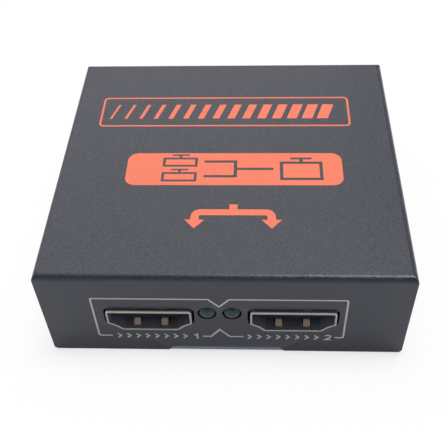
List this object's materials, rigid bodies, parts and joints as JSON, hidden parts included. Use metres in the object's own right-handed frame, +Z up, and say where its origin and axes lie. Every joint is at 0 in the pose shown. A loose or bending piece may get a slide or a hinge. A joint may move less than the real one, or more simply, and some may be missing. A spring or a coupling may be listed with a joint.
{
  "type": "video splitter",
  "caption": "Small box-shaped video splitter: folded metal cover screwed to a base plate, output sockets and lights in front, input and power sockets behind, circuit board inside.",
  "frame": {"origin": "centre of the footprint, on the table under the case", "axes": "+X across the output sockets, to the right as they are faced, -Y out of the output sockets, +Y out of the input and power sockets, +Z up"},
  "size_m": [0.064, 0.0606, 0.0212],
  "materials": {
    "cover_paint": "fine textured black-grey powder coat on folded steel",
    "base_steel": "satin grey coat on flat steel",
    "black_screw": "black oxide on steel",
    "brass": "turned",
    "plated_steel": "nickel plated",
    "board_laminate": "green solder resist on glass-fibre laminate",
    "socket_shell": "nickel-plated sheet with a warm tint",
    "black_plastic": "moulded black nylon",
    "gold_contact": "gold-plated contacts",
    "green_lens": "tinted clear resin lens",
    "tinned_lead": "tinned",
    "chip_body": "moulded black epoxy",
    "capacitor_can": "drawn aluminium",
    "ferrite": "grey ferrite",
    "coil_wire": "enamelled copper wire",
    "ceramic": "fired ceramic"
  },
  "bodies": {
    "root": {"top_cover": "cover_paint", "base_plate": "base_steel", "cover_screws": "black_screw", "board_standoffs": "brass", "board_screws": "plated_steel", "circuit_board": "board_laminate", "output_1_shell": "socket_shell", "output_1_tongue": "black_plastic", "output_1_contacts": "gold_contact", "output_2_shell": "socket_shell", "output_2_tongue": "black_plastic", "output_2_contacts": "gold_contact", "input_shell": "socket_shell", "input_tongue": "black_plastic", "input_contacts": "gold_contact", "power_housing": "black_plastic", "power_pin": "plated_steel", "power_leaf": "plated_steel", "power_switch_contact": "plated_steel", "output_1_light": "green_lens", "output_1_light_leads": "tinned_lead", "output_2_light": "green_lens", "output_2_light_leads": "tinned_lead", "power_light": "green_lens", "power_light_leads": "tinned_lead", "splitter_chip": "chip_body", "splitter_chip_leads": "tinned_lead", "memory_chip": "chip_body", "memory_chip_leads": "tinned_lead", "clock_crystal": "plated_steel", "crystal_base": "black_plastic", "regulator_3v3": "chip_body", "regulator_1v8": "chip_body", "regulator_leads": "tinned_lead", "reservoir_capacitor": "capacitor_can", "capacitor_base": "black_plastic", "filter_coil_core": "ferrite", "filter_coil_winding": "coil_wire", "ceramic_capacitors": "ceramic", "chip_resistors": "chip_body", "chip_terminals": "tinned_lead", "surge_arrays": "chip_body"}
  },
  "joints": []
}
